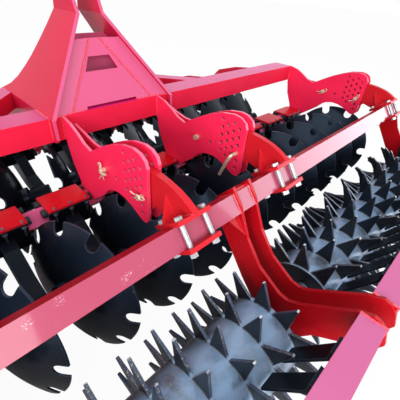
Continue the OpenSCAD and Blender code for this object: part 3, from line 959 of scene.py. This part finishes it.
class HARROW_OT_welds(bpy.types.Operator):
    """Lay the weld beads of the frame and of the roller frame"""

    bl_idname = "harrow.welds"
    bl_label = "Weld beads"

    def execute(self, context):
        red = harrow_materials()["weld_red"]
        radius = context.scene.harrow_sizes.bead
        bm = bmesh.new()
        plate_seams(bm, radius)
        headstock_seams(bm, radius)
        piece("frame_welds", bm, red, "frame", WELD_SHARP_DEG)
        bm = bmesh.new()
        roller_frame_seams(bm, radius)
        piece("roller_frame_welds", bm, red, "roller_frame", WELD_SHARP_DEG)
        return {"FINISHED"}


class HARROW_OT_web(bpy.types.Operator):
    """Close the headstock's box with the web ahead of its rear plate"""

    bl_idname = "harrow.web"
    bl_label = "Headstock web"

    def execute(self, context):
        looks = harrow_materials()
        foot = (WEB_FOOT_Y, BEAM_TOP)
        top = (WEB_FOOT_Y + HEAD_LEAN, BEAM_TOP + HEAD_RISE)
        bm = bmesh.new()
        corners = [
            at(HEAD_X - WEB_LOW_HALF, *foot),
            at(HEAD_X + WEB_LOW_HALF, *foot),
            at(HEAD_X + WEB_TOP_HALF, *top),
            at(HEAD_X - WEB_TOP_HALF, *top),
        ]
        face = bm.faces.new([bm.verts.new(corner) for corner in corners])
        grown = bmesh.ops.extrude_face_region(bm, geom=[face])
        moved = [part for part in grown["geom"] if isinstance(part, bmesh.types.BMVert)]
        bmesh.ops.translate(bm, verts=moved, vec=WEB_THICK)
        piece("headstock_web", bm, looks["headstock_red_shaded"], "frame")
        return {"FINISHED"}


def tooth_bead(radius):
    """The bead at one side of a tooth's foot, as a mesh: an arc on the drum, about its axis."""
    spread = math.asin(TOOTH_FOOT_HALF / DRUM_R)
    centre = (0, 0, 0)
    bm = bmesh.new()
    bmesh.ops.create_circle(bm, cap_ends=True, segments=5, radius=radius)
    upright = Matrix.Rotation(-math.pi / 2, 3, "X")
    bmesh.ops.rotate(bm, verts=bm.verts, cent=centre, matrix=upright)
    bmesh.ops.translate(bm, verts=bm.verts, vec=(0, 0, DRUM_R + TOOTH_BEAD_UP))
    bmesh.ops.rotate(bm, verts=bm.verts, cent=centre, matrix=Matrix.Rotation(-spread, 3, "X"))
    bmesh.ops.spin(
        bm,
        geom=bm.verts[:] + bm.edges[:] + bm.faces[:],
        cent=centre,
        axis=(1, 0, 0),
        angle=2 * spread,
        steps=6,
    )
    bmesh.ops.recalc_face_normals(bm, faces=bm.faces)
    mesh = bpy.data.meshes.new("bead")
    bm.to_mesh(mesh)
    bm.free()
    return mesh


class HARROW_OT_tooth_welds(bpy.types.Operator):
    """Lay a bead on both sides of every tooth's foot"""

    bl_idname = "harrow.tooth_welds"
    bl_label = "Tooth weld beads"

    def execute(self, context):
        looks = harrow_materials()
        bead = tooth_bead(context.scene.harrow_sizes.bead * TOOTH_BEAD)
        axis = at(0, *ROLLER)
        for side, body in ((-1, "roller_left"), (1, "roller_right")):
            bm = bmesh.new()
            for ring in range(RINGS):
                for tooth in range(TEETH):
                    degrees = FIRST_TOOTH_DEG + ring % 2 * RING_STAGGER_DEG + tooth * 360 / TEETH
                    turn = Matrix.Rotation(math.radians(degrees) - math.pi / 2, 4, "X")
                    for face in (0.0, TOOTH_T):
                        x = side * (RING_X0 + ring * RING_PITCH + face)
                        copy = bead.copy()
                        copy.transform(Matrix.Translation(axis + Vector((x, 0, 0))) @ turn)
                        add_mesh(bm, copy)
            piece(f"{body}_beads", bm, looks["weld_slate"], body, WELD_SHARP_DEG)
        bpy.data.meshes.remove(bead)
        return {"FINISHED"}


# The bolts on a disc's hub: how many, the radius of their ring, their seat, width and height
HUB_BOLTS = 5
HUB_RING_R = 0.043
HUB_SEAT = 0.0905
HUB_BOLT_W = 0.017
HUB_BOLT_H = 0.008


class HARROW_OT_hub_bolts(bpy.types.Operator):
    """Put the ring of bolts on every disc's hub"""

    bl_idname = "harrow.hub_bolts"
    bl_label = "Hub bolts"

    def execute(self, context):
        looks = harrow_materials()
        for row in ROWS:
            for k in range(1, ARMS + 1):
                bm = bmesh.new()
                for i in range(HUB_BOLTS):
                    turn = math.tau * i / HUB_BOLTS
                    seat = (HUB_RING_R * math.cos(turn), HUB_RING_R * math.sin(turn), HUB_SEAT)
                    bolt(bm, seat, (0, 0, 1), HUB_BOLT_W, HUB_BOLT_H)
                bmesh.ops.transform(bm, matrix=hub_matrix(row, k), verts=bm.verts)
                disc = f"{row[0]}{k}"
                piece(f"hub_bolts_{disc}", bm, looks["black_gloss"], f"disc_{disc}")
        return {"FINISHED"}


# Stage

FLOOR_HALF = 30.0
FLOOR_COLOUR = (0.86, 0.86, 0.87)
FLOOR_GLOW = 0.96
WHITE = (1.0, 1.0, 1.0)
SKY_COLOUR = (0.93, 0.96, 1.0)
SKY_STRENGTH = 0.55

# Name, place, width and height, watts, colour
LAMPS = (
    ("sky_front", (3.4, 4.2, 3.4), (7.0, 5.0), 85.0, (0.56, 0.75, 1.0)),
    ("key_rear", (3.7, -2.6, 1.5), (3.0, 2.2), 80.0, (0.88, 0.94, 1.0)),
    ("fill_rear", (-2.0, -4.4, 1.7), (3.0, 2.5), 115.0, (1.0, 0.98, 0.97)),
    ("low_left", (-4.4, -2.9, 1.6), (2.5, 1.6), 180.0, (0.92, 0.94, 1.0)),
    ("sky_left", (-4.0, -1.5, 4.0), (3.5, 3.5), 60.0, (1.0, 0.98, 0.95)),
    ("sky_top", (0.0, 0.0, 5.0), (5.0, 4.0), 58.0, (0.95, 0.97, 1.0)),
)
LAMP_AIM = Vector((0.0, -0.2, 0.5))

# The photograph's camera: its place, its turns, and its focal length in pixels of a 400-pixel frame
CAMERA_AT = (-0.7271, -1.0177, 1.2150)
CAMERA_YAW = math.radians(47.34)
CAMERA_PITCH = math.radians(36.07)
CAMERA_ROLL = math.radians(4.19)
FOCAL_PX = 299.9
FRAME_PX = 400.0
SENSOR_MM = 36.0
CLIP_START = 0.02


def lay_floor():
    """A pale floor that the camera sees as almost white."""
    book = new_book("pale_floor")
    seen = book.node("ShaderNodeLightPath", out="Is Camera Ray")
    matt = book.principled({"Base Color": hue(FLOOR_COLOUR), "Roughness": 0.9})
    glow = book.node("ShaderNodeEmission", None, {"Color": hue(WHITE), "Strength": 1.0})
    book.finish(book.blend(seen * FLOOR_GLOW, matt, glow))
    bm = bmesh.new()
    bmesh.ops.create_grid(bm, x_segments=1, y_segments=1, size=FLOOR_HALF)
    new_object("floor", bm, book.owner)


def light_world(scene):
    """Soft light from all round, with white behind the object and in its reflections."""
    scene.world = bpy.data.worlds.new("studio")
    book = Book(scene.world)
    camera, glossy, through = (
        book.node("ShaderNodeLightPath", out=f"Is {ray} Ray")
        for ray in ("Camera", "Glossy", "Transmission")
    )
    sky, white = (
        book.node("ShaderNodeBackground", None, {"Color": hue(colour), "Strength": strength})
        for colour, strength in ((SKY_COLOUR, SKY_STRENGTH), (WHITE, 1.0))
    )
    book.finish(book.blend(camera | glossy | through, sky, white), "ShaderNodeOutputWorld")


def hang_lamps(scene):
    """Large soft lamps round the machine, all aimed at its middle."""
    for name, place, size, power, colour in LAMPS:
        lamp = bpy.data.lights.new(name, "AREA")
        lamp.shape = "RECTANGLE"
        lamp.size, lamp.size_y = size
        lamp.energy = power
        lamp.color = colour
        holder = bpy.data.objects.new(name, lamp)
        scene.collection.objects.link(holder)
        turn = (LAMP_AIM - Vector(place)).to_track_quat("-Z", "Y").to_matrix().to_4x4()
        holder.matrix_world = Matrix.Translation(place) @ turn


def set_camera(scene):
    """The photograph's viewpoint: yaw from +Y towards +X, pitch downwards, roll about the view."""
    level = math.cos(CAMERA_PITCH)
    ahead = Vector(
        (math.sin(CAMERA_YAW) * level, math.cos(CAMERA_YAW) * level, -math.sin(CAMERA_PITCH))
    )
    right = Vector((math.cos(CAMERA_YAW), -math.sin(CAMERA_YAW), 0.0))
    up = right.cross(ahead)
    side = right * math.cos(CAMERA_ROLL) + up * math.sin(CAMERA_ROLL)
    top = up * math.cos(CAMERA_ROLL) - right * math.sin(CAMERA_ROLL)
    lens = bpy.data.cameras.new("photo_camera")
    lens.sensor_width = SENSOR_MM
    lens.lens = FOCAL_PX / FRAME_PX * SENSOR_MM
    lens.clip_start = CLIP_START
    camera = bpy.data.objects.new("photo_camera", lens)
    scene.collection.objects.link(camera)
    turn = Matrix((side, top, -ahead)).transposed().to_4x4()
    camera.matrix_world = Matrix.Translation(CAMERA_AT) @ turn
    scene.camera = camera


class HARROW_OT_stage(bpy.types.Operator):
    """Set the floor, the lights and the photograph's camera"""

    bl_idname = "harrow.stage"
    bl_label = "Stage"

    def execute(self, context):
        context.scene.view_settings.view_transform = "Standard"
        lay_floor()
        light_world(context.scene)
        hang_lamps(context.scene)
        set_camera(context.scene)
        return {"FINISHED"}


OPERATORS = (
    HARROW_OT_stage,
    HARROW_OT_paint,
    HARROW_OT_clips,
    HARROW_OT_lid_bolts,
    HARROW_OT_welds,
    HARROW_OT_web,
    HARROW_OT_tooth_welds,
    HARROW_OT_hub_bolts,
)


class HARROW_PT_panel(bpy.types.Panel):
    """The harrow's pieces, colours and sizes"""

    bl_idname = "HARROW_PT_panel"
    bl_label = "Disc harrow"
    bl_space_type = "VIEW_3D"
    bl_region_type = "UI"
    bl_category = "Harrow"

    def draw(self, context):
        for kind in OPERATORS:
            self.layout.operator(kind.bl_idname)
        for group in (context.scene.harrow_finish, context.scene.harrow_sizes):
            for key in group.__annotations__:
                self.layout.prop(group, key)


CLASSES = (HarrowFinish, HarrowSizes, *OPERATORS, HARROW_PT_panel)


def register():
    for kind in CLASSES:
        bpy.utils.register_class(kind)
    bpy.types.Scene.harrow_finish = bpy.props.PointerProperty(type=HarrowFinish)
    bpy.types.Scene.harrow_sizes = bpy.props.PointerProperty(type=HarrowSizes)


def unregister():
    del bpy.types.Scene.harrow_sizes
    del bpy.types.Scene.harrow_finish
    for kind in reversed(CLASSES):
        bpy.utils.unregister_class(kind)


def main():
    register()
    bpy.ops.harrow.stage()
    bpy.ops.harrow.paint()
    bpy.ops.harrow.clips()
    bpy.ops.harrow.lid_bolts()
    bpy.ops.harrow.welds()
    bpy.ops.harrow.web()
    bpy.ops.harrow.tooth_welds()
    bpy.ops.harrow.hub_bolts()


if __name__ == "__main__":
    main()
